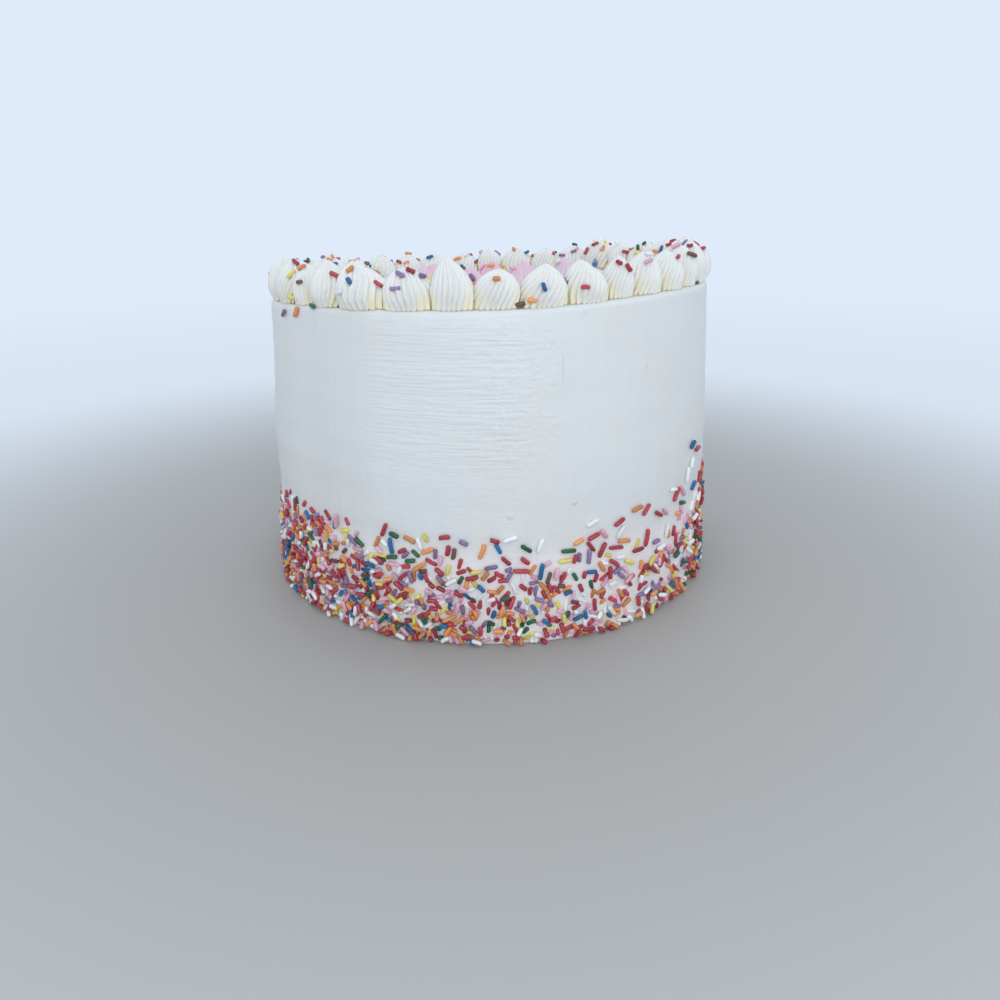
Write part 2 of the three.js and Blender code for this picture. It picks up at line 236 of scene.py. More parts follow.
class Finish:
    """One procedural material, or the air of the stage, and the nodes that make it."""

    def __init__(self, name, kept_in=None):
        self.material = (bpy.data.materials if kept_in is None else kept_in).new(name)
        self.material.use_nodes = True
        self.tree = self.material.node_tree
        self.tree.nodes.clear()

    def node(self, kind, settings=None, values=None, out=0):
        """Adds a node: settings first, then a value or a link for each of its sockets."""
        node = self.tree.nodes.new("ShaderNode" + kind)
        node.location = (180 * (len(self.tree.nodes) % 12), -260 * (len(self.tree.nodes) // 12))
        for name, setting in (settings or {}).items():
            setattr(node, name, setting)
        for name, value in (values or {}).items():
            if isinstance(value, Value):
                self.tree.links.new(value.socket, node.inputs[name])
            else:
                node.inputs[name].default_value = value
        return None if out is None else Value(self, node.outputs[out])

    def place(self):
        return self.node("TexCoord", out="Object")

    def parts(self, vector):
        split = self.node("SeparateXYZ", values={"Vector": vector})
        return [Value(self, split.socket.node.outputs[axis]) for axis in "XYZ"]

    def stretched(self, vector, stretch):
        return self.node("VectorMath", {"operation": "MULTIPLY"}, {0: vector, 1: stretch})

    def length(self, vector):
        return self.node("VectorMath", {"operation": "LENGTH"}, {0: vector}, out="Value")

    def noise(self, vector, scale, detail=2.0, rough=0.5):
        return self.node(
            "TexNoise", values={"Vector": vector, "Scale": scale, "Detail": detail, "Roughness": rough}
        )

    def attribute(self, name):
        return self.node("Attribute", {"attribute_name": name}, out="Fac")

    def mix(self, share, one, other):
        colours = {"Factor": share, 6: opaque(one), 7: opaque(other)}
        return self.node("Mix", {"data_type": "RGBA"}, colours, out=2)

    def bump(self, height, depth, normal=None):
        values = {"Height": height, "Distance": depth, "Strength": 1.0}
        if normal:
            values["Normal"] = normal
        return self.node("Bump", values=values)

    def marks(self, place, spots):
        """1 at the middle of each spot of the wall, falling to 0 at its edge."""
        total = 0
        for turn, high, wide, tall in spots:
            middle = direction(math.radians(turn)) * CAKE_RADIUS + UP * high
            scale = Vector((1 / wide, 1 / wide, 1 / tall))
            offset = self.node("VectorMath", {"operation": "SUBTRACT"}, {0: place, 1: middle})
            away = self.length(self.stretched(offset, scale))
            total = 1 - away.between(MARK_CORE, 1) + total
        return total

    def surface(self, **values):
        named = {name.replace("_", " "): value for name, value in values.items()}
        self.output(self.node("BsdfPrincipled", values=named))
        return self.material

    def output(self, shader):
        self.node("OutputMaterial", values={"Surface": shader}, out=None)


def opaque(colour):
    return colour if isinstance(colour, Value) else (*colour, 1.0)


SOFT_BUTTER = {
    "Subsurface_Weight": 0.2,
    "Subsurface_Radius": (1.0, 0.8, 0.55),
    "Subsurface_Scale": 1.5 * MM,
    "Specular_IOR_Level": 0.42,
}


# Small marks in the wall: degrees from the front, height, half width and half height
MARKS = (
    (14.8, 91 * MM, 1.0 * MM, 7 * MM),
    (20, 107.6 * MM, 1.3 * MM, 1.6 * MM),
    (-32, 94 * MM, 0.9 * MM, 1.1 * MM),
    (17.8, 47 * MM, 1.3 * MM, 1.2 * MM),
    (4, 44 * MM, 1.5 * MM, 1.5 * MM),
    (12.5, 99 * MM, 1.2 * MM, 1.8 * MM),
    (36, 88 * MM, 0.9 * MM, 2.4 * MM),
)
MARK_CORE = 0.2  # share of a mark's size over which it is deepest
MARK_DEPTH = 0.3 * MM

BAND_LIT_ICING = (0.93, 0.875, 0.85)  # brighter, warmer icing under the band of sprinkles: partly unscraped icing, partly painted light bounced up from below
BAND_FADES = (26 * MM, 38 * MM)  # heights between which it and its painted light turn to scraped icing
DARKER_SHARE = 0.93  # of the icing's colour, where it is darker: in its mottle, and in the painted shade of a strip at the left front

# Stretches across the front of the wall: where each starts, from none to full, and where it ends
# The shaded stretch is a strip of painted shade; the ridged and pitted ones are bumps.
SHADED_FROM, SHADED_TO = (-65 * MM, -56 * MM), (-46 * MM, -33 * MM)
RIDGED_FROM, RIDGED_TO = (-44 * MM, -32 * MM), (4 * MM, 16 * MM)
PITTED_FROM, PITTED_TO = (-6 * MM, 3 * MM), (19 * MM, 24 * MM)
# Heights between which the scraper's marks grow above the band, and fade below the rim
MARKED_FROM, FULLY_FROM, MARKED_TO = (20 * MM, 36 * MM), (52 * MM, 70 * MM), (103 * MM, 107 * MM)

# How finely each kind of mark repeats along X, Y and Z
LEVEL_RIDGES, BROKEN_RIDGES = (80, 80, 1100), (300, 300, 650)
UPRIGHT_DRAGS, FINE_PITS = (330, 330, 18), (420, 420, 560)
# Depth of each kind, by the depth of the scraper's ridges
RIDGES_DEEP, DRAGS_DEEP, PITS_DEEP, PEBBLES_DEEP = 3.4, 1.7, 2.6, 0.6


def scraped_icing(sizes):
    """Satin buttercream with level scraper ridges, fine pits and a few upright drags, a strip of painted
    shade at the left front and painted light under the band of sprinkles.
    """
    finish = Finish("scraped_icing")
    place = finish.place()
    x, y, z = finish.parts(place)
    patches = finish.noise(place, 26)
    mottle = finish.noise(place, 240, 3)
    darker_icing = tuple(DARKER_SHARE * c for c in sizes.colour)
    colour = finish.mix(patches.between(0.42, 0.72), sizes.colour, sizes.warm)
    colour = finish.mix(mottle.between(0.35, 0.9) * 0.35, colour, darker_icing)
    # painted shade: a darker strip across the left front of the wall
    painted_shade_strip = x.between(*SHADED_FROM) * (1 - x.between(*SHADED_TO)) * (y * -1).between(0, 30 * MM)
    colour = finish.mix(painted_shade_strip * 0.6, colour, darker_icing)
    # painted light under the band, fading out up the wall
    colour = finish.mix(1 - z.between(*BAND_FADES), colour, BAND_LIT_ICING)

    front = (y * -1).between(20 * MM, 45 * MM)
    ridged = front * x.between(*RIDGED_FROM) * (1 - x.between(*RIDGED_TO))
    pitted = front * x.between(*PITTED_FROM) * (1 - x.between(*PITTED_TO))
    elsewhere = finish.noise(place, 17, 1).between(0.45, 0.6) * (1 - front)
    wall = z.between(*FULLY_FROM) * 0.75 + z.between(*MARKED_FROM) * 0.25
    wall = wall * (1 - z.between(*MARKED_TO))
    level = finish.noise(finish.stretched(place, LEVEL_RIDGES), 1, 1.5, 0.4)
    broken = finish.noise(finish.stretched(place, BROKEN_RIDGES), 1)
    strong = ridged.larger(elsewhere * 0.45 + 0.1)
    ridges = (level * 0.7 + broken * 0.3) * strong * wall
    drags = finish.noise(finish.stretched(place, UPRIGHT_DRAGS), 1, 1) * (1 - 0.7 * strong)
    pits = finish.noise(finish.stretched(place, FINE_PITS), 1, 2, 0.6) * (pitted * wall * 0.9 + 0.1)
    pebbles = finish.noise(place, 620, 2)
    marks = finish.marks(place, MARKS)
    normal = finish.bump(ridges, RIDGES_DEEP * sizes.ridge)
    normal = finish.bump(marks, MARK_DEPTH, normal)
    normal = finish.bump(drags, DRAGS_DEEP * sizes.ridge, normal)
    normal = finish.bump(pits, PITS_DEEP * sizes.ridge, normal)
    normal = finish.bump(pebbles, PEBBLES_DEEP * sizes.ridge, normal)
    sheen = finish.noise(place, 60)
    return finish.surface(
        Base_Color=colour, Roughness=0.4 + 0.16 * sheen, Normal=normal, **SOFT_BUTTER
    )


def piped_icing(sizes):
    """Moist piped buttercream, with a painted warm shade at the foot, deep in the grooves and between the
    swirls.
    """
    finish = Finish("piped_icing")
    place = finish.place()
    groove = finish.attribute("groove")
    foot = 1 - finish.attribute("rise").between(0.0, 0.22)
    crevice = finish.attribute("crevice")
    patches = finish.noise(place, 90)
    # painted shade: the warm crevice colour at the foot, in the grooves and between the swirls
    deep = (groove * 0.15).larger(foot * (0.3 + 0.5 * groove)).larger(crevice)
    colour = finish.mix(deep * (0.6 + 0.5 * patches), sizes.colour, sizes.crevice_shade)
    grain = finish.noise(place, 900, 2)
    torn = finish.noise(finish.stretched(place, (700, 700, 120)), 1, 2)
    normal = finish.bump(torn, 0.18 * MM)
    normal = finish.bump(grain, 0.06 * MM, normal)
    return finish.surface(
        Base_Color=colour, Roughness=0.36 + 0.18 * patches, Normal=normal, **SOFT_BUTTER
    )


def pink_icing(sizes):
    """Moist piped buttercream in pale pink that turns lilac here and there, with painted shade deep in its
    grooves.
    """
    finish = Finish("pink_icing")
    place = finish.place()
    groove = finish.attribute("groove")
    colour = finish.mix(finish.noise(place, 28, 0).between(0.58, 0.72), sizes.pink, sizes.lilac)
    # painted shade: the pink darkens deep in the grooves
    deeper = tuple(0.8 * c for c in sizes.pink)
    colour = finish.mix(groove * 0.4, colour, deeper)
    grain = finish.noise(place, 900, 2)
    return finish.surface(
        Base_Color=colour, Roughness=0.4 + 0.12 * grain, Normal=finish.bump(grain, 0.08 * MM), **SOFT_BUTTER
    )


def sugar_rod(name, colour):
    """Waxed sugar: one colour, a little lighter or darker from rod to rod."""
    finish = Finish("sugar_" + name)
    place = finish.place()
    tone = finish.attribute("tone")
    darker = 0.6 + 0.28 * min(colour)  # the pale sugars vary less
    dark, light = tuple(darker * c for c in colour), tuple(min(1, 1.14 * c + 0.02) for c in colour)
    speckle = finish.noise(place, 1500, 2)
    shade = finish.mix(tone * 0.8 + speckle * 0.2, dark, light)
    return finish.surface(
        Base_Color=shade,
        Roughness=0.2 + 0.14 * speckle,
        Normal=finish.bump(speckle, 0.03 * MM),
        Specular_IOR_Level=0.6,
    )


# ---- Modelling helpers ----


def deselect():
    bpy.ops.object.select_all(action="DESELECT")


def settle_origin(piece):
    bpy.ops.object.transform_apply(location=True, rotation=True, scale=True)
    return piece


def edit():
    bpy.ops.object.mode_set(mode="EDIT")


def leave_edit():
    bpy.ops.object.mode_set(mode="OBJECT")


def pick(kind, wanted):
    """In edit mode, selects only the vertices, edges or faces that are wanted."""
    bpy.ops.mesh.select_mode(type=kind)
    bpy.ops.mesh.select_all(action="DESELECT")
    mesh = bpy.context.object.data
    work = bmesh.from_edit_mesh(mesh)
    for item in {"VERT": work.verts, "EDGE": work.edges, "FACE": work.faces}[kind]:
        if wanted(item):
            item.select_set(True)
    bmesh.update_edit_mesh(mesh)


def spread(edge):
    """How far an edge climbs."""
    return abs(edge.verts[0].co.z - edge.verts[1].co.z)


def at_height(z, near=1e-6):
    """A test for an edge or face whose corners all lie at one height."""
    return lambda item: all(abs(corner.co.z - z) < near for corner in item.verts)


def apply_modifier(piece, kind, **settings):
    modifier = piece.modifiers.new(kind.title(), kind)
    for name, setting in settings.items():
        setattr(modifier, name, setting)
    bpy.ops.object.modifier_apply(modifier=modifier.name)


def corners_of(mesh):
    flat = np.empty(3 * len(mesh.vertices))
    mesh.vertices.foreach_get("co", flat)
    return flat.reshape(-1, 3)


def move_corners(mesh, places):
    mesh.vertices.foreach_set("co", np.ascontiguousarray(places).ravel())
    mesh.update()


def store(mesh, name, values):
    """Keeps one number for each vertex, for the finishes to read."""
    attribute = mesh.attributes.new(name, "FLOAT", "POINT")
    attribute.data.foreach_set("value", np.ascontiguousarray(values, dtype=np.float32))


def finished(piece, name, material, slot, *nodes):
    """Names a piece, gives it its finish and lets it stand for its solids."""
    piece.name = piece.data.name = name
    piece.data.materials.clear()
    piece.data.materials.append(material)
    piece.data.polygons.foreach_set("use_smooth", [True] * len(piece.data.polygons))
    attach(piece, "root")
    if nodes:
        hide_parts(*nodes)
    return piece


def copy_of(mesh, name):
    piece = bpy.data.objects.new(name, mesh.copy())
    bpy.context.scene.collection.objects.link(piece)
    return piece


def remove(piece):
    mesh = piece.data
    bpy.data.objects.remove(piece)
    bpy.data.meshes.remove(mesh)


# ---- The iced cake ----

WALL_COLUMNS = 300
WALL_ROWS = 96  # cuts between the foot and the rim
RIM_SEGMENTS = 6
TOP_RINGS = 16
SCRAPE_WAVES = (  # turns once round, turns up the wall, depth: broad marks of the scraper
    (7, 1.5, 0.10 * MM),
    (11, -2.5, 0.07 * MM),
    (2, 9, 0.05 * MM),
)
TOP_SPIRAL = {"turns": 9, "depth": 0.12 * MM}


def scraped_block(sizes):
    """A drum with a soft rim, ring after ring across its top and row after row down its wall."""
    deselect()
    bpy.ops.mesh.primitive_cylinder_add(
        vertices=WALL_COLUMNS, radius=sizes.radius, depth=sizes.height, location=(0, 0, sizes.height / 2)
    )
    piece = settle_origin(bpy.context.object)
    edit()
    pick("EDGE", at_height(0))
    bpy.ops.mesh.bevel(offset=FOOT_CHAMFER, segments=2, affect="EDGES")
    pick("EDGE", at_height(sizes.height))
    bpy.ops.mesh.bevel(offset=sizes.rim, segments=RIM_SEGMENTS, affect="EDGES")
    pick("EDGE", lambda edge: spread(edge) > sizes.height / 2)
    bpy.ops.mesh.subdivide(number_cuts=WALL_ROWS)
    pick("FACE", at_height(sizes.height))
    for _ in range(TOP_RINGS):
        bpy.ops.mesh.inset(thickness=(sizes.radius - sizes.rim) / (TOP_RINGS + 1))
    bpy.ops.mesh.poke()
    leave_edit()
    return piece


def scrape(mesh, sizes):
    """Gives the drum the cake's own slope, lean and unevenness."""
    x, y, z = corners_of(mesh).T
    angle, reach = np.arctan2(x, -y), np.hypot(x, y)
    share = np.clip(reach / sizes.radius, 0, 1)
    stray = wall_radius(angle, z) - CAKE_RADIUS
    for turns, climbs, depth in SCRAPE_WAVES:
        stray = stray + depth * np.sin(turns * angle + climbs * TURN * z / sizes.height)
    new_reach = reach + stray * share**6
    spiral = TOP_SPIRAL["depth"] * np.sin(TOP_SPIRAL["turns"] * TURN * share + angle)
    on_top = np.clip((z - sizes.height + sizes.rim) / sizes.rim, 0, 1) * (share < 0.95)
    scale = np.divide(new_reach, reach, out=np.ones_like(reach), where=reach > 0)
    x, y = x * scale, y * scale
    z = z + (top_at(x, y) - SIDE_HEIGHT) * np.clip(lean_in(z), 0, 1) + spiral * on_top
    move_corners(mesh, np.stack([x, y, z], 1))


class CAKE_OT_ice(bpy.types.Operator):
    """Spread and scrape the white buttercream"""

    bl_idname = "cake.ice"
    bl_label = "Ice the cake"

    def execute(self, context):
        sizes = context.scene.cake_icing
        piece = scraped_block(sizes)
        scrape(piece.data, sizes)
        finished(piece, "iced_cake", scraped_icing(sizes), "white_icing", "cake_body")
        return {"FINISHED"}


# ---- Piped stars ----

# Height and width of a piped swirl from its foot to its tip, as shares of its height and radius
SWIRL_FORM = (
    (0.0, 0.95), (0.05, 0.95), (0.12, 0.965), (0.2, 0.985), (0.3, 1.0), (0.39, 0.995), (0.48, 0.96),
    (0.57, 0.895), (0.66, 0.8), (0.74, 0.68), (0.81, 0.54), (0.875, 0.39), (0.93, 0.25), (0.975, 0.13),
)
DROP_FORM = (
    (0.0, 1.0), (0.06, 0.98), (0.16, 1.0), (0.3, 0.95), (0.45, 0.83), (0.6, 0.67), (0.74, 0.5),
    (0.86, 0.32), (0.95, 0.16),
)


GROOVE_CREASE = 0.45


def piped_star(name, flutes, groove, form):
    """A star of unit radius and height: a ring of points drawn up level by level to a tip."""
    deselect()
    bpy.ops.mesh.primitive_circle_add(vertices=3 * flutes, radius=form[0][1])
    piece = settle_origin(bpy.context.object)
    piece.name = name
    edit()
    pick("VERT", lambda corner: corner.index % 3 == 0)
    bpy.ops.transform.resize(value=(1 - groove, 1 - groove, 1), center_override=(0, 0, 0))
    bpy.ops.mesh.select_all(action="SELECT")
    for (low, wide), (high, narrow) in zip(form, form[1:]):
        bpy.ops.mesh.extrude_region_move(TRANSFORM_OT_translate={"value": (0, 0, high - low)})
        ratio = narrow / wide
        bpy.ops.transform.resize(value=(ratio, ratio, 1), center_override=(0, 0, high))
    bpy.ops.mesh.extrude_region_move(TRANSFORM_OT_translate={"value": (0, 0, 1 - form[-1][0])})
    bpy.ops.mesh.merge(type="CENTER")
    crease_grooves(flutes)
    pick("EDGE", at_height(0))
    bpy.ops.mesh.edge_face_add()
    bpy.ops.mesh.select_all(action="SELECT")
    bpy.ops.mesh.normals_make_consistent(inside=False)
    leave_edit()
    apply_modifier(piece, "SUBSURF", levels=1, render_levels=1)
    x, y, z = corners_of(piece.data).T
    store(piece.data, "groove", 0.5 + 0.5 * np.cos(np.arctan2(y, x) * flutes))
    store(piece.data, "rise", z)
    return piece


def crease_grooves(flutes):
    """Keeps the bottoms of the grooves sharp where the surface is smoothed."""

    def in_groove(edge):
        if spread(edge) < 1e-4:
            return False
        corner = min(edge.verts, key=lambda c: c.co.z).co
        turn = math.atan2(corner.y, corner.x) * flutes / TURN
        return abs(turn - round(turn)) < 0.05

    pick("EDGE", in_groove)
    bpy.ops.transform.edge_crease(value=GROOVE_CREASE)


def seat_of(node):
    """Where a solid star stands: middle of the foot, widest radius, and tip from the foot."""
    corners = np.array([corner.co for corner in frame["nodes"][node].data.vertices])
    foot = corners[corners[:, 2] < corners[:, 2].min() + 1 * MM]
    middle = (foot.min(0) + foot.max(0)) / 2
    radius = np.hypot(*(foot - middle)[:, :2].T).max() / FOOT_WIDE
    tip = corners[corners[:, 2].argmax()]
    return middle, radius, tip - middle


STAR_SUNK = 0.2 * MM  # how deep a piped foot sinks in the icing
# How the shape of a piped star changes: by what share of its radius, and below what share of its height
FOOT_FLARE = {"share": 0.08, "below": 0.1}  # the ridges spread at the foot
FOOT_DRAWN_IN = {"share": 0.15, "below": 0.4}  # a foot is narrower than the belly on its outer side
MERGED = {"share": 0.13, "below": 0.6}  # a foot spreads into its neighbours
SWAY = {"turn": 0.15, "waves": 4.5}  # the ridges swing to and fro on their way up
THREE_SIDED = 0.025  # a star is a little three-sided at half height
CREVICE = {"full": 1.25, "fades over": 0.45}  # the painted warm shade between two swirls, up their sides
HEM_REACH = 83 * MM  # the feet end in one line along the rim
HEM_TUCKED = 0.85  # share of what passes it that is tucked in
OVAL = 0.03  # how far a star is from round at most


def draw_star(mesh, seat, wider, twist, blunt, wobble):
    """Shapes a unit star to its seat: size, twist, a blunter or finer tip, its lean and wobble."""
    middle, radius, tip = seat
    x, y, z = corners_of(mesh).T
    angle, reach = np.arctan2(y, x), np.hypot(x, y)
    ridge = 0.5 - 0.5 * np.cos(angle * wobble["flutes"])
    reach = reach * (1 + FOOT_FLARE["share"] * ridge * np.clip(1 - z / FOOT_FLARE["below"], 0, 1) ** 2)
    sway = SWAY["turn"] * np.sin(SWAY["waves"] * z + wobble["phase"])
    angle = angle + twist * z + sway * np.clip(1.2 - z, 0, 1)
    around_rim = math.atan2(middle[0], -middle[1])
    outer = np.clip(-np.sin(angle - around_rim), 0, 1) ** 1.5
    beside = np.clip((np.abs(np.cos(angle - around_rim)) - 0.5) / 0.35, 0, 1)
    drawn_in = np.clip(1 - z / FOOT_DRAWN_IN["below"], 0, 1) ** 1.6
    reach = reach * (1 - FOOT_DRAWN_IN["share"] * outer * drawn_in)
    reach = reach * (1 + MERGED["share"] * beside * np.clip(1 - z / MERGED["below"], 0, 1))
    reach = reach * (1 + wobble["oval"] * np.cos(2 * (angle - around_rim)))
    three_sided = THREE_SIDED * np.sin(3 * angle + wobble["phase"])
    reach = reach * (1 + three_sided * np.sin(math.pi * np.clip(z, 0, 1)))
    high = (1 - blunt) * z + blunt * np.sin(z * math.pi / 2)
    x = middle[0] + np.cos(angle) * reach * (radius + wider) + tip[0] * high**2
    y = middle[1] + np.sin(angle) * reach * (radius + wider) + tip[1] * high**2
    out = np.hypot(x, y)
    tucked = 1 - HEM_TUCKED * np.clip(out - HEM_REACH, 0, None) * np.clip(1 - 4 * z, 0, 1) / out
    x, y = x * tucked, y * tucked
    ground = top_at(x, y) - rim_drop(np.hypot(x, y)) * np.clip(1 - 2.5 * z, 0, 1)
    move_corners(mesh, np.stack([x, y, ground - STAR_SUNK + high * (tip[2] + STAR_GAP + STAR_SUNK)], 1))
    store(mesh, "crevice", beside * np.clip(CREVICE["full"] - z / CREVICE["fades over"], 0, 1))


# Ridge twist and bluntness of the swirls across the front, left to right
FRONT_SWIRLS = (
    (0.5, 0.2), (0.45, 0.1), (0.5, 0.0), (0.25, 0.45), (0.1, 0.0), (0.7, 0.5), (0.8, 0.1), (0.7, 0.1),
    (0.6, 0.15), (0.45, 0.1), (0.6, 0.15),
)


STARS = {  # by the start of the solids' names; twist and bluntness are drawn between two limits
    "swirl_": {
        "form": SWIRL_FORM, "twist": (0.2, 0.9), "blunt": (0.0, 0.35), "by hand": FRONT_SWIRLS,
        "slot": "piped_icing",
    },
    "pink_drop_": {
        "form": DROP_FORM, "twist": (0.3, 0.9), "blunt": (0.0, 0.3), "by hand": (),
        "slot": "pink_icing",
    },
}


def wobble_of(draw, flutes):
    return {"phase": draw.uniform(0, TURN), "oval": draw.uniform(-OVAL, OVAL), "flutes": flutes}


def pipe(kind, sizes, ridges, wider, icing):
    """Pipes a star over each solid of one kind."""
    star, draw = STARS[kind], random.Random(sizes.seed)
    unit = piped_star(kind + "star", ridges, sizes.groove, star["form"])
    material = icing(sizes)
    for i, node in enumerate(sorted(n for n in frame["nodes"] if n.startswith(kind))):
        piece = copy_of(unit.data, node)
        twist, blunt = draw.uniform(*star["twist"]), draw.uniform(*star["blunt"])
        if i < len(star["by hand"]):
            twist, blunt = star["by hand"][i]
        draw_star(piece.data, seat_of(node), wider, twist, blunt, wobble_of(draw, ridges))
        finished(piece, "piped_" + node, material, star["slot"], node)
    remove(unit)


class CAKE_OT_pipe_swirls(bpy.types.Operator):
    """Pipe the ring of swirls on the rim"""

    bl_idname = "cake.pipe_swirls"
    bl_label = "Pipe the swirls"

    def execute(self, context):
        sizes = context.scene.cake_swirls
        pipe("swirl_", sizes, sizes.flutes, sizes.wider, piped_icing)
        return {"FINISHED"}


class CAKE_OT_pipe_drops(bpy.types.Operator):
    """Pipe the small pink star drops inside the ring"""

    bl_idname = "cake.pipe_drops"
    bl_label = "Pipe the pink drops"

    def execute(self, context):
        sizes = context.scene.cake_drops
        pipe("pink_drop_", sizes, sizes.points, 0.0, pink_icing)
        return {"FINISHED"}


# ---- Rod sprinkles ----

SUGARS = {  # colour, share of the rods
    "red": ((0.52, 0.032, 0.054), 0.32),
    "orange": ((0.86, 0.32, 0.09), 0.2),
    "yellow": ((0.95, 0.75, 0.16), 0.08),
    "blue": ((0.008, 0.155, 0.38), 0.08),
    "green": ((0.01, 0.12, 0.04), 0.045),
    "purple": ((0.3, 0.18, 0.35), 0.08),
    "pink": ((0.91, 0.46, 0.57), 0.15),
    "brown": ((0.17, 0.07, 0.055), 0.02),
    "white": ((0.97, 0.945, 0.9), 0.17),
}

# Rods laid one by one on the swirls: where each shows across and down the camera's picture, which is
# FRAME wide and high, and its turn there in degrees. END_ON rods point at the camera.
FRAME = 1000
END_ON = None
ON_SWIRLS = {
    "red": (
        (294, 265, 100), (334, 275, -20), (378, 285, -25), (411, 272, -20), (415, 274, 30), (465, 247, -25),
        (519, 247, -35), (583, 286, 10), (587, 251, 65), (620, 263, -20), (627, 252, END_ON),
        (677, 258, END_ON), (681, 237, 50), (689, 246, -20), (694, 248, 10), (670, 245, 0), (628, 267, -50),
    ),
    "orange": (
        (298, 312, 80), (303, 268, 20), (378, 272, -40), (405, 262, 40), (459, 260, 45), (491, 266, -15),
        (503, 267, END_ON), (496, 279, 0), (532, 298, 10), (602, 270, END_ON), (604, 250, 80),
        (656, 252, -20), (603, 245, 5), (350, 270, 30),
    ),
    "yellow": ((294, 298, END_ON), (431, 280, 80), (638, 253, END_ON), (290, 273, 60), (435, 246, 60)),
    "blue": (
        (309, 268, 110), (348, 283, 105), (370, 267, -35), (374, 280, -20), (430, 258, 0), (526, 254, 50),
        (537, 249, 90), (543, 287, 105), (593, 266, END_ON), (662, 250, 75), (663, 245, 70),
    ),
    "green": (
        (308, 262, 90), (314, 305, -10), (400, 263, -45), (463, 268, -45), (639, 248, 75), (643, 244, 45),
    ),
    "purple": (
        (286, 313, 70), (395, 289, 0), (359, 258, 40), (473, 278, END_ON), (566, 279, -35),
        (402, 275, END_ON), (420, 277, 10), (598, 263, 70), (572, 252, 20),
    ),
    "pink": ((483, 268, 45), (677, 246, 20), (648, 262, 10)),
    "brown": ((301, 283, 20), (366, 266, END_ON), (520, 303, 0), (691, 255, -15)),
    "white": ((648, 255, 20), (340, 290, 40), (560, 262, 10)),
}
# Rods laid one by one above the dense part of the band, in the same way
ABOVE_BAND = {
    "red": (
        (385, 529, 70), (445, 537, 5), (448, 550, 80), (440, 571, -40), (495, 540, -15), (506, 560, -40),
        (525, 560, -35), (521, 570, 0), (593, 536, 30), (590, 546, -50), (574, 558, 70), (601, 549, 65),
        (615, 547, 5), (618, 521, 40), (645, 509, 60), (645, 537, 80), (657, 513, -30), (696, 448, 40),
        (703, 450, 60), (698, 476, 80), (675, 494, 70), (281, 496, 100), (613, 562, -30), (637, 549, 20),
        (660, 560, 70), (472, 577, 10), (404, 575, 40),
    ),
    "orange": (
        (410, 539, -30), (428, 550, 20), (482, 551, 70), (578, 541, 30), (613, 527, 40), (623, 540, 5),
        (636, 508, 30), (647, 528, -40), (704, 465, 90), (279, 479, 90), (485, 575, 50), (601, 566, -60),
        (420, 566, 30),
    ),
    "yellow": (
        (426, 537, -60), (430, 549, 70), (449, 569, 80), (565, 560, 10), (640, 552, 80), (628, 561, -20),
        (650, 560, 60),
    ),
    "blue": ((392, 545, 100), (498, 548, -60), (591, 571, 5), (691, 444, 60), (692, 485, 60), (541, 571, 80)),
    "green": (
        (395, 534, -25), (411, 560, 5), (393, 556, 0), (526, 548, -30), (568, 550, 5), (681, 502, 10),
        (275, 477, -20),
    ),
    "purple": (
        (464, 542, -25), (406, 554, 45), (491, 567, 10), (588, 556, 85), (616, 569, 40), (620, 575, -40),
        (655, 541, 30),
    ),
    "pink": (
        (441, 560, 75), (603, 533, -50), (630, 516, 60), (681, 490, -70), (500, 561, 30), (664, 511, -60),
        (556, 573, 80),
    ),
    "brown": ((533, 553, -20), (454, 553, 80), (548, 577, 70)),
    "white": (
        (510, 539, 20), (540, 545, 70), (480, 545, 10), (592, 522, 30), (690, 462, 80), (686, 474, 80),
        (672, 489, 10), (620, 531, 60), (420, 543, -70), (540, 560, -50), (665, 530, 80),
    ),
}


MOST_REACH = 86.15 * MM  # no rod on the wall stands further out than the solid's own rods
RING_MOST = 88 * MM  # the same on the swirls, which overhang the wall
BOW_ROOM = 0.12 * MM  # left for the bow of a rod, inside the box of the solid cake
OFF_FLOOR = 0.64  # least height of a rod's axis, in thicknesses


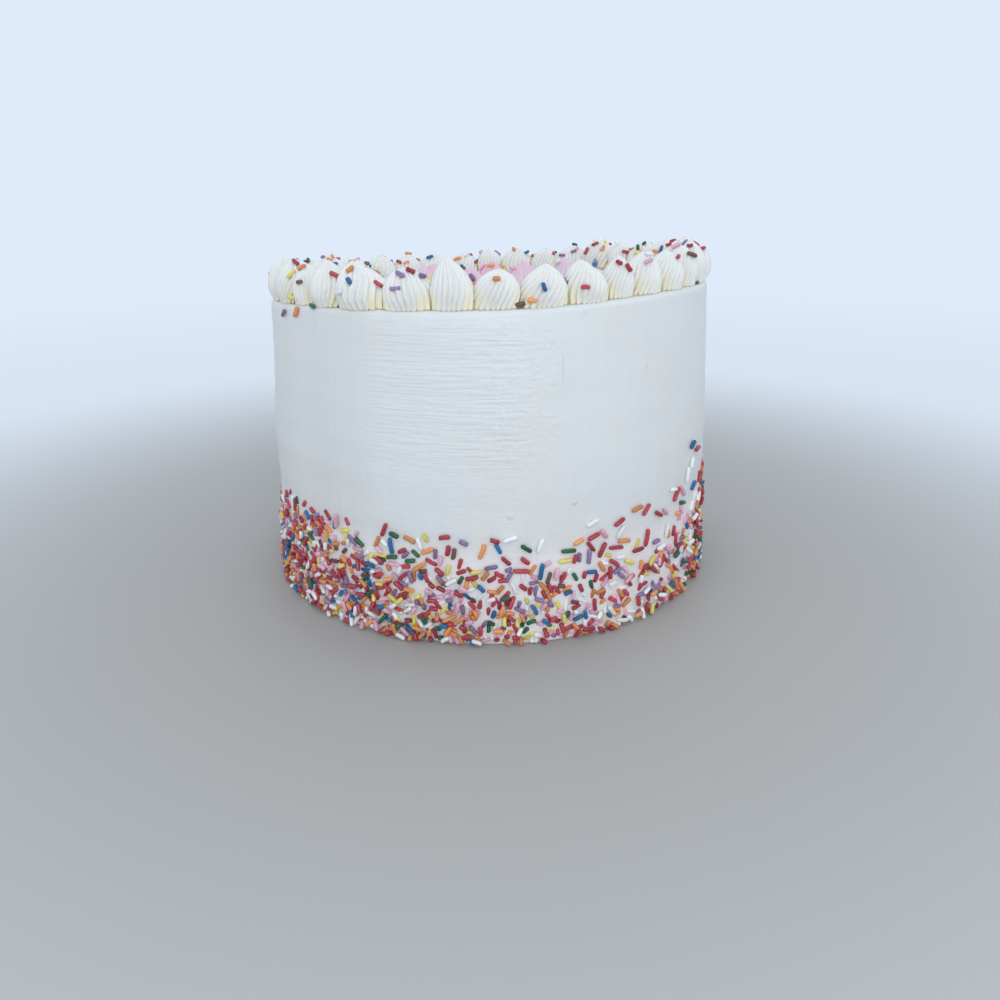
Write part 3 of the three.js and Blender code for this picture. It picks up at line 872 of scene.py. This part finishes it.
class Strewing:
    """The rods laid so far, by colour, and a grid that finds the ones near a place."""

    CELL = 6 * MM
    CLOSEST = 0.84  # least distance between two rods, as a share of their thickness

    def __init__(self, sizes):
        self.sizes = sizes
        self.draw = random.Random(sizes.seed)
        self.rods = {name: [] for name in SUGARS}
        self.cells = {}

    def any_colour(self, whiter=0.0):
        if self.draw.random() < whiter:
            return "white"
        return self.draw.choices(list(SUGARS), [share for _, share in SUGARS.values()])[0]

    def length(self, share=1.0):
        return share * self.sizes.length * self.draw.triangular(0.66, 1.5, 0.84)

    def cell(self, middle):
        return tuple(int(math.floor(c / self.CELL)) for c in middle)

    def near(self, middle):
        a, b, c = self.cell(middle)
        for i in (a - 1, a, a + 1):
            for j in (b - 1, b, b + 1):
                for k in (c - 1, c, c + 1):
                    yield from self.cells.get((i, j, k), ())

    def crossed(self, middle, along, length):
        """Whether a rod already lies where this one would."""
        least = self.CLOSEST * self.sizes.thickness
        half = along * (length - self.sizes.thickness) / 2
        return any(
            between(middle, half, other, other_half) < least for other, other_half in self.near(middle)
        )

    def fits(self, middle, along, length, most=MOST_REACH):
        """Whether a rod stays off the floor, in the box of the solid cake and clear of the others."""
        thick = self.sizes.thickness
        half = along * (length - thick) / 2
        reach = math.hypot(middle.x, middle.y) + thick / 2
        reach += abs(half.dot(direction(math.atan2(middle.x, -middle.y))))
        if reach > most or middle.z - abs(half.z) < OFF_FLOOR * thick:
            return False
        room = thick / 2 + BOW_ROOM
        for low, at, run, high in zip(SOLID_BOX[0], middle, half, SOLID_BOX[1]):
            if at + abs(run) + room > high or (low < 0 and at - abs(run) - room < low):
                return False
        return not self.crossed(middle, along, length)

    def lay(self, colour, middle, along, out, length):
        out = (out - along * out.dot(along)).normalized()
        place = Matrix((along.cross(out), out, along)).transposed().to_4x4()
        place.translation = middle
        self.rods[colour].append((place, length))
        half = along * (length - self.sizes.thickness) / 2
        self.cells.setdefault(self.cell(middle), []).append((middle.copy(), half))


def between(one, one_half, other, other_half):
    """Least distance between two straight lines, each a middle and half its run."""
    gap = one - other
    a, b, c = one_half.dot(one_half), one_half.dot(other_half), other_half.dot(other_half)
    d, e = one_half.dot(gap), other_half.dot(gap)
    spare = a * c - b * b
    s = 0.0 if spare < 1e-16 else max(-1.0, min(1.0, (b * e - c * d) / spare))
    t = max(-1.0, min(1.0, (b * s + e) / c))
    s = max(-1.0, min(1.0, (b * t - d) / a))
    return (gap + one_half * s - other_half * t).length


BAND_TOP = {"height": 38 * MM, "swell": 4 * MM, "at": math.radians(66), "ragged": 2 * MM}
BAND_DIPS = (  # depth, where and how wide: the low places in its upper edge
    (11 * MM, math.radians(20), math.radians(32)),
    (5 * MM, math.radians(-74), math.radians(13)),
)
THIN_AT, THIN_WIDTH = math.radians(52), math.radians(28)  # where the band is thinnest
# Share of the wall that the band hides: where it is thin, more elsewhere, more at the foot and how much
# of that where it is thin, less at the back, and the most of all
COVER = {"thin": 0.42, "dense": 0.26, "foot": 0.5, "thin foot": 0.35, "back": 0.12, "most": 0.93}
EDGE_FADES = {"dense": 6, "thin": 8}  # mm over which its edge thins out, and more where it is thin
FOOT_HIGH = 21 * MM  # below this the cover grows towards the foot
ROD_SHADOW = 4.1 * MM * MM  # wall that one rod hides


def band_top(angle):
    """Height of the band's ragged upper edge."""
    swell = BAND_TOP["swell"] * max(0.0, math.cos(angle - BAND_TOP["at"])) ** 8
    dip = sum(depth * math.exp(-(((angle - at) / width) ** 2)) for depth, at, width in BAND_DIPS)
    return BAND_TOP["height"] + swell - dip + BAND_TOP["ragged"] * math.sin(5 * angle)


def density(angle, z):
    """Rods for each square metre of wall, at an angle in radians and a height in metres."""
    off = (angle - THIN_AT + math.pi) % TURN - math.pi
    dense = 1 - math.exp(-((off / THIN_WIDTH) ** 2))
    cover = COVER["thin"] + COVER["dense"] * dense
    cover -= COVER["back"] * max(0.0, -math.cos(angle)) * (0.5 + 0.5 * math.sin(3 * angle))
    fade = (band_top(angle) - z) / ((EDGE_FADES["dense"] + EDGE_FADES["thin"] * (1 - dense)) * MM)
    foot = COVER["foot"] * (COVER["thin foot"] + (1 - COVER["thin foot"]) * dense)
    cover = cover * max(0.0, min(1.0, fade)) + foot * max(0.0, 1 - z / FOOT_HIGH)
    return -math.log(1 - min(COVER["most"], cover)) / ROD_SHADOW


LAYERS = (0.0, 0.62, 1.2)  # how far out a rod lies, by the rods under it, in thicknesses
THIRD_BELOW = 26 * MM  # lower than this rods lie up to three deep, above it two
MOST_DENSE = 0.66 / (MM * MM)  # rods for each square metre of wall, more than density ever gives
WAYS = 3  # tries to lay a rod at one place
LOW_WHITE = 0.06  # more of the lowest rods are white
LOOSE_BELOW = 30 * MM  # lower than this the rods stick out every way
SUNK_IN = (0.1, 0.5)  # how deep a rod is pressed in, in thicknesses
STICKS_OUT = {"flat": 0.05, "layer": 0.12, "loose": 0.6}  # how far its ends turn out of the wall
BURIED_SHARE = 0.6  # a slanted rod is pushed in by this share of half its run out of the wall


def press(rods, angle, height, layers):
    """Presses a rod on the wall, in the first of a few ways in which it fits there."""
    draw, thick = rods.draw, rods.sizes.thickness
    loose = max(0.0, 1 - height / LOOSE_BELOW)
    colour = rods.any_colour(LOW_WHITE * loose)
    out, level = direction(angle), Vector((math.cos(angle), math.sin(angle), 0))
    for _ in range(WAYS):
        length, lean = rods.length(), draw.uniform(-math.pi / 2, math.pi / 2)
        z = max(height, thick * 0.6 + abs(math.sin(lean)) * (length - thick) / 2)
        face = level * math.cos(lean) + UP * math.sin(lean)
        sunk = draw.uniform(*SUNK_IN)
        for layer in layers:
            turned = STICKS_OUT["flat"] + STICKS_OUT["layer"] * layer + STICKS_OUT["loose"] * loose
            along = (face + out * draw.gauss(0, turned)).normalized()
            buried = BURIED_SHARE * abs(along.dot(out)) * (length - thick) / 2
            middle = out * (wall_radius(angle, z) + (0.5 - sunk + layer) * thick - buried) + UP * z
            if rods.fits(middle, along, length):
                rods.lay(colour, middle, along, out, length)
                return


def strew_band(rods):
    """Rods pressed on the foot of the wall, up to three deep."""
    draw = rods.draw
    highest = BAND_TOP["height"] + BAND_TOP["swell"] + BAND_TOP["ragged"]
    tries = int(MOST_DENSE * TURN * CAKE_RADIUS * highest)
    for _ in range(tries):
        angle, z = draw.uniform(-math.pi, math.pi), draw.uniform(0, highest)
        if draw.random() < density(angle, z) * rods.sizes.band / MOST_DENSE:
            press(rods, angle, z, LAYERS if z < THIRD_BELOW else LAYERS[:2])


FOOT_REACH = 86.1 * MM  # the fallen rods stay inside this radius
FOOT_BURIED = 1.2 * MM  # how far a fallen rod may stick in the wall
FOOT_TURN = 1.5  # most turn of a fallen rod from pointing out, in radians
FOOT_STRAY = (0, 2.2, 0.4)  # mm that it lies short of the radius: least, most and likeliest
FOOT_TILT = 0.25  # most tilt of a rod that lies on another, for each layer
STEP_UP, STEP_IN = 1.25, 0.4  # how far up and in it lies there, for each layer, in thicknesses


def strew_foot(rods):
    """Rods that fell at the foot: they lie on what the cake stands on, some on each other."""
    draw, thick = rods.draw, rods.sizes.thickness
    for _ in range(rods.sizes.foot):
        angle, length = draw.uniform(-math.pi, math.pi), rods.length()
        heading = draw.uniform(-FOOT_TURN, FOOT_TURN)
        across = abs(math.cos(heading)) * (length - thick) / 2 + thick / 2
        reach = FOOT_REACH - across - draw.triangular(*FOOT_STRAY) * MM
        if reach - across < wall_radius(angle, 0) - FOOT_BURIED:
            continue
        colour = rods.any_colour(LOW_WHITE)
        flat = direction(angle + heading)
        for layer in LAYERS:
            along = (flat + UP * draw.uniform(-FOOT_TILT, FOOT_TILT) * layer).normalized()
            rise = thick * OFF_FLOOR + layer * STEP_UP * thick + abs(along.z) * length / 2
            middle = direction(angle) * (reach - layer * STEP_IN * thick) + UP * rise
            if rods.fits(middle, along, length):
                rods.lay(colour, middle, along, UP, length)
                break


ABOVE = 4 * MM  # how far off the icing a rod's rest is looked for
MOST_TILT, MOST_LIFT = 1.2 * MM, 0.7 * MM  # of a rod that follows the icing
TOUCHES = 0.4  # share of its length, on each side of its middle, where a rod may touch the icing
LIFTED = 0.8  # share of the highest rise under it by which it is lifted
DEEPER = (0, 0.15, 0.3, 0.45)  # tries to press it deeper till it fits, in thicknesses


def rise_under(ground, spot, normal):
    """How far the icing stands above a spot along a normal, or falls below it."""
    _, _, _, away = ground.ray_cast(spot + normal * ABOVE, -normal, 2 * ABOVE)
    return -MOST_TILT if away is None else max(-MOST_TILT, min(MOST_TILT, ABOVE - away))


def lie(rods, ground, spot, normal, along, colour, sunk, share):
    """Lays a rod on the icing along a direction, on its highest ridges, if no rod lies there yet."""
    length = rods.length(share)
    along = (along - normal * along.dot(normal)).normalized()
    run = TOUCHES * length
    ahead, behind = (rise_under(ground, spot + along * (run * way), normal) for way in (1, -1))
    along = (along * run + normal * ((ahead - behind) / 2)).normalized()
    normal = (normal - along * normal.dot(along)).normalized()
    lift = max(rise_under(ground, spot + along * (run * step / 4), normal) for step in range(-4, 5))
    lifted = LIFTED * max(0.0, min(MOST_LIFT, lift))
    for deeper in DEEPER:
        middle = spot + normal * (rods.sizes.thickness * (0.5 - sunk - deeper) + lifted)
        if rods.fits(middle, along, length, RING_MOST):
            rods.lay(colour, middle, along, normal, length)
            return


LEAST_FACING = -0.35  # icing seen more edge-on than this counts as this, or its rods would turn away


def lay_by_hand(rods, ground, laid, share):
    """Lays rods where they show in the camera's picture, flat on whatever icing is there."""
    ahead, right, up = camera_axes()
    focal = LENS / SENSOR * FRAME
    for colour, places in laid.items():
        for across, down, turn in places:
            picture = right * (across - FRAME / 2) + up * (FRAME / 2 + CAMERA_SHIFT * FRAME - down)
            sight = (ahead * focal + picture).normalized()
            spot, normal, _, _ = ground.ray_cast(CAMERA_AT, sight)
            if spot is None:
                continue
            if turn is END_ON:
                along = sight
            else:
                along = right * math.cos(math.radians(turn)) + up * math.sin(math.radians(turn))
                facing = min(LEAST_FACING, sight.dot(normal))
                along -= sight * along.dot(normal) / facing
            lie(rods, ground, spot, normal, along, colour, rods.draw.uniform(-0.1, 0.1), share)


ON_SWIRLS_SHARE, ABOVE_BAND_SHARE = 0.92, 1.22  # lengths there, as shares of the mean length
RING_REACH, RING_SPREAD, RING_EDGE = 77.5 * MM, 4.6 * MM, 84 * MM
INSIDE_SHARE = 0.16  # of the rods dropped from above, those that fall inside the ring
INSIDE_FROM, INSIDE_TO = 20, 68  # mm from the middle
BY_HAND_TO = math.radians(58)  # from the front to here the outer side of the ring is laid one by one
OUTER_SIDE = 72 * MM  # which starts here
HIGH = 0.2  # metres up, from where the rods are dropped
LOWEST = SIDE_HEIGHT - 6 * MM  # a rod that falls lower has missed the top


def strew_ring(rods, ground):
    """Rods dropped over the swirls, in between them and on the top inside the ring."""
    draw = rods.draw
    for _ in range(rods.sizes.ring):
        angle = draw.uniform(-math.pi, math.pi)
        reach = min(draw.gauss(RING_REACH, RING_SPREAD), RING_EDGE)
        if draw.random() < INSIDE_SHARE:
            reach = draw.uniform(INSIDE_FROM, INSIDE_TO) * MM
        heading, colour, sunk = draw.uniform(0, math.pi), rods.any_colour(), draw.uniform(0.05, 0.3)
        if abs(angle) < BY_HAND_TO and reach > OUTER_SIDE:
            continue
        spot, normal, _, _ = ground.ray_cast(direction(angle) * reach + UP * HIGH, -UP)
        if spot is None or spot.z < LOWEST:
            continue
        lie(rods, ground, spot, normal, direction(heading), colour, sunk, ON_SWIRLS_SHARE)


ROD_SIDES = 8
END_ROUNDING = 0.7  # of a rod's radius
ROD_BOW = 0.12  # mm, the usual bow of a rod
ROD_WIDE = (0.9, 1.06)  # thinnest and thickest rod, by the thickness


def rod_shape(sizes):
    """A rod of unit length along Z with blunt rounded ends, and its corners."""
    deselect()
    bpy.ops.mesh.primitive_cylinder_add(vertices=ROD_SIDES, radius=sizes.thickness / 2, depth=sizes.length)
    piece = settle_origin(bpy.context.object)
    edit()
    pick("EDGE", lambda edge: spread(edge) > sizes.length / 2)
    bpy.ops.mesh.subdivide(number_cuts=1)
    half = sizes.length / 2
    pick("EDGE", lambda edge: spread(edge) < 1e-7 and abs(edge.verts[0].co.z) > 0.9 * half)
    bpy.ops.mesh.bevel(offset=END_ROUNDING * sizes.thickness / 2, segments=2, affect="EDGES")
    leave_edit()
    corners = corners_of(piece.data)
    corners[:, 2] /= 2 * half
    return piece, corners


def bent(corners, place, length, bow, wide):
    """A rod's corners at its place, bowed sideways a little."""
    x, y, z = corners.T
    local = np.stack([x * wide + bow * (1 - 4 * z * z), y * wide, z * length], 1)
    return local @ np.array(place.to_3x3()).T + np.array(place.translation)


def join_rods(rods, name, shape, corners):
    """One mesh of all the rods of one colour."""
    draw = random.Random(rods.sizes.seed + len(rods.rods[name]))
    work = bmesh.new()
    for _ in rods.rods[name]:
        work.from_mesh(shape.data)
    mesh = bpy.data.meshes.new(name)
    work.to_mesh(mesh)
    work.free()
    placed, tones = [], []
    for place, length in rods.rods[name]:
        bow = draw.gauss(0, ROD_BOW) * MM
        placed.append(bent(corners, place, length, bow, draw.uniform(*ROD_WIDE)))
        tones.append(draw.random())
    move_corners(mesh, np.concatenate(placed))
    store(mesh, "tone", np.repeat(tones, len(corners)))
    piece = bpy.data.objects.new(name, mesh)
    bpy.context.scene.collection.objects.link(piece)
    return piece


def ground_of(pieces):
    """One searchable surface of several pieces."""
    corners, faces = [], []
    for piece in pieces:
        start = len(corners)
        corners += [corner.co.copy() for corner in piece.data.vertices]
        faces += [[start + i for i in face.vertices] for face in piece.data.polygons]
    return BVHTree.FromPolygons(corners, faces)


class CAKE_OT_strew(bpy.types.Operator):
    """Press the band of rod sprinkles on the wall and strew the rest over the top"""

    bl_idname = "cake.strew"
    bl_label = "Strew the sprinkles"

    def execute(self, context):
        sizes = context.scene.cake_sprinkles
        rods = Strewing(sizes)
        icing = [o for o in bpy.data.objects if o.name == "iced_cake" or o.name.startswith("piped_")]
        if len(icing) < 2:
            raise RuntimeError("The cake is iced and piped before it is strewn")
        ground = ground_of(icing)
        lay_by_hand(rods, ground, ON_SWIRLS, ON_SWIRLS_SHARE)
        lay_by_hand(rods, ground, ABOVE_BAND, ABOVE_BAND_SHARE)
        strew_band(rods)
        strew_foot(rods)
        strew_ring(rods, ground)
        shape, corners = rod_shape(sizes)
        for name, (colour, _) in SUGARS.items():
            piece = join_rods(rods, name, shape, corners)
            finished(piece, "sprinkles_" + name, sugar_rod(name, colour), "sprinkles", "cake_body")
        remove(shape)
        return {"FINISHED"}


# ---- Stage ----

LENS, SENSOR = 29.115, 36
CAMERA_AT = Vector((0, -0.322232, 0.137864))
CAMERA_YAW, CAMERA_DOWN, CAMERA_ROLL = (math.radians(a) for a in (0.687, 10.593, -0.388))
CAMERA_SHIFT = -0.14
FLOOR_RADIUS = 3.0
LIGHT_TINT = (0.93, 0.97, 1.0)


def camera_axes():
    """The camera's ahead, right and up."""
    ahead = Vector((
        math.sin(CAMERA_YAW) * math.cos(CAMERA_DOWN),
        math.cos(CAMERA_YAW) * math.cos(CAMERA_DOWN),
        -math.sin(CAMERA_DOWN),
    ))
    level = ahead.cross(UP).normalized()
    upright = level.cross(ahead)
    right = level * math.cos(CAMERA_ROLL) + upright * math.sin(CAMERA_ROLL)
    return ahead, right, right.cross(ahead)


def add_camera():
    ahead, right, up = camera_axes()
    data = bpy.data.cameras.new("camera")
    data.lens, data.sensor_width, data.shift_y = LENS, SENSOR, CAMERA_SHIFT
    data.clip_start = 0.01
    camera = bpy.data.objects.new("camera", data)
    camera.matrix_world = Matrix((right, up, -ahead)).transposed().to_4x4()
    camera.location = CAMERA_AT
    bpy.context.scene.collection.objects.link(camera)
    bpy.context.scene.camera = camera


def add_light(name, place, aim, size, power):
    data = bpy.data.lights.new(name, "AREA")
    data.energy, data.size, data.shape = power, size, "DISK"
    data.color = LIGHT_TINT
    light = bpy.data.objects.new(name, data)
    light.location = place
    light.rotation_euler = (Vector(aim) - Vector(place)).to_track_quat("-Z", "Y").to_euler()
    bpy.context.scene.collection.objects.link(light)


def pale_floor(sizes):
    """A matt floor, darker grey by the cake and partly a painted shadow of the cake there, that fades into
    the backdrop away from the cake.
    """
    finish = Finish("pale_floor")
    place = finish.place()
    away = finish.length(place)
    cloud = finish.noise(place, 9, 2)
    # partly painted shadow: the floor is a darker grey by the cake
    near = finish.mix(cloud * 0.3, sizes.floor, tuple(0.92 * c for c in sizes.floor))
    matt = finish.node("BsdfPrincipled", values={"Base Color": near, "Roughness": 0.6})
    far = finish.mix(away.between(0.25, 1.2), tuple(0.92 * c for c in sizes.backdrop), sizes.backdrop)
    glow = finish.node("Emission", values={"Color": far, "Strength": 1.0})
    share = away.between(0.13, 0.42)
    finish.output(finish.node("MixShader", values={"Fac": share, 1: matt, 2: glow}))
    return finish.material


SIDE_AIR = 0.7  # brightness of the air at the sides, as a share of that ahead and above


def studio_air(backdrop):
    """Soft even light from ahead, behind and above, and dimmer air at the sides."""
    air = Finish("air", bpy.data.worlds)
    across = air.parts(air.node("TexCoord", out="Generated"))[0]
    aside = air.node("Math", {"operation": "ABSOLUTE"}, {0: across}).between(0.55, 0.85)
    colour = air.mix(aside, backdrop, tuple(SIDE_AIR * c for c in backdrop))
    glow = air.node("Background", values={"Color": colour, "Strength": 1.0})
    air.node("OutputWorld", values={"Surface": glow}, out=None)
    return air.material


class CAKE_OT_stage(bpy.types.Operator):
    """Lay the floor and set the lights and the camera"""

    bl_idname = "cake.stage"
    bl_label = "Set the stage"

    def execute(self, context):
        sizes = context.scene.cake_stage
        deselect()
        bpy.ops.mesh.primitive_circle_add(
            vertices=96, radius=FLOOR_RADIUS, fill_type="NGON", location=(0, 0, -0.05 * MM)
        )
        floor = settle_origin(bpy.context.object)
        floor.name = "floor"
        floor.data.materials.append(pale_floor(sizes))
        context.scene.world = studio_air(sizes.backdrop)
        add_light("front_light", (0.1, -0.9, 0.5), (0, 0, 0.06), 0.5, sizes.front_light)
        add_light("top_light", (0.15, 0.1, 1.0), (0, 0, 0.1), 0.8, sizes.top_light)
        add_camera()
        context.scene.view_settings.view_transform = "Standard"
        return {"FINISHED"}


# ---- Panel, registration and the order of work ----

GROUPS = {
    "cake_icing": CakeIcing,
    "cake_swirls": CakeSwirls,
    "cake_drops": CakeDrops,
    "cake_sprinkles": CakeSprinkles,
    "cake_stage": CakeStage,
}
STEPS = (CAKE_OT_ice, CAKE_OT_pipe_swirls, CAKE_OT_pipe_drops, CAKE_OT_strew, CAKE_OT_stage)


class CAKE_PT_panel(bpy.types.Panel):
    """Sizes, colours and steps of the cake"""

    bl_idname = "CAKE_PT_panel"
    bl_label = "Birthday cake"
    bl_space_type = "VIEW_3D"
    bl_region_type = "UI"
    bl_category = "Cake"

    def draw(self, context):
        for (name, group), step in zip(GROUPS.items(), STEPS):
            box = self.layout.box()
            for prop in group.__annotations__:
                box.prop(getattr(context.scene, name), prop)
            box.operator(step.bl_idname)


def register():
    for group in (*GROUPS.values(), *STEPS, CAKE_PT_panel):
        bpy.utils.register_class(group)
    for name, group in GROUPS.items():
        setattr(bpy.types.Scene, name, PointerProperty(type=group))


def unregister():
    for name in GROUPS:
        delattr(bpy.types.Scene, name)
    for group in reversed((*GROUPS.values(), *STEPS, CAKE_PT_panel)):
        bpy.utils.unregister_class(group)


def main():
    register()
    bpy.ops.cake.ice()
    bpy.ops.cake.pipe_swirls()
    bpy.ops.cake.pipe_drops()
    bpy.ops.cake.strew()
    bpy.ops.cake.stage()
    bpy.context.view_layer.update()


if __name__ == "__main__":
    main()
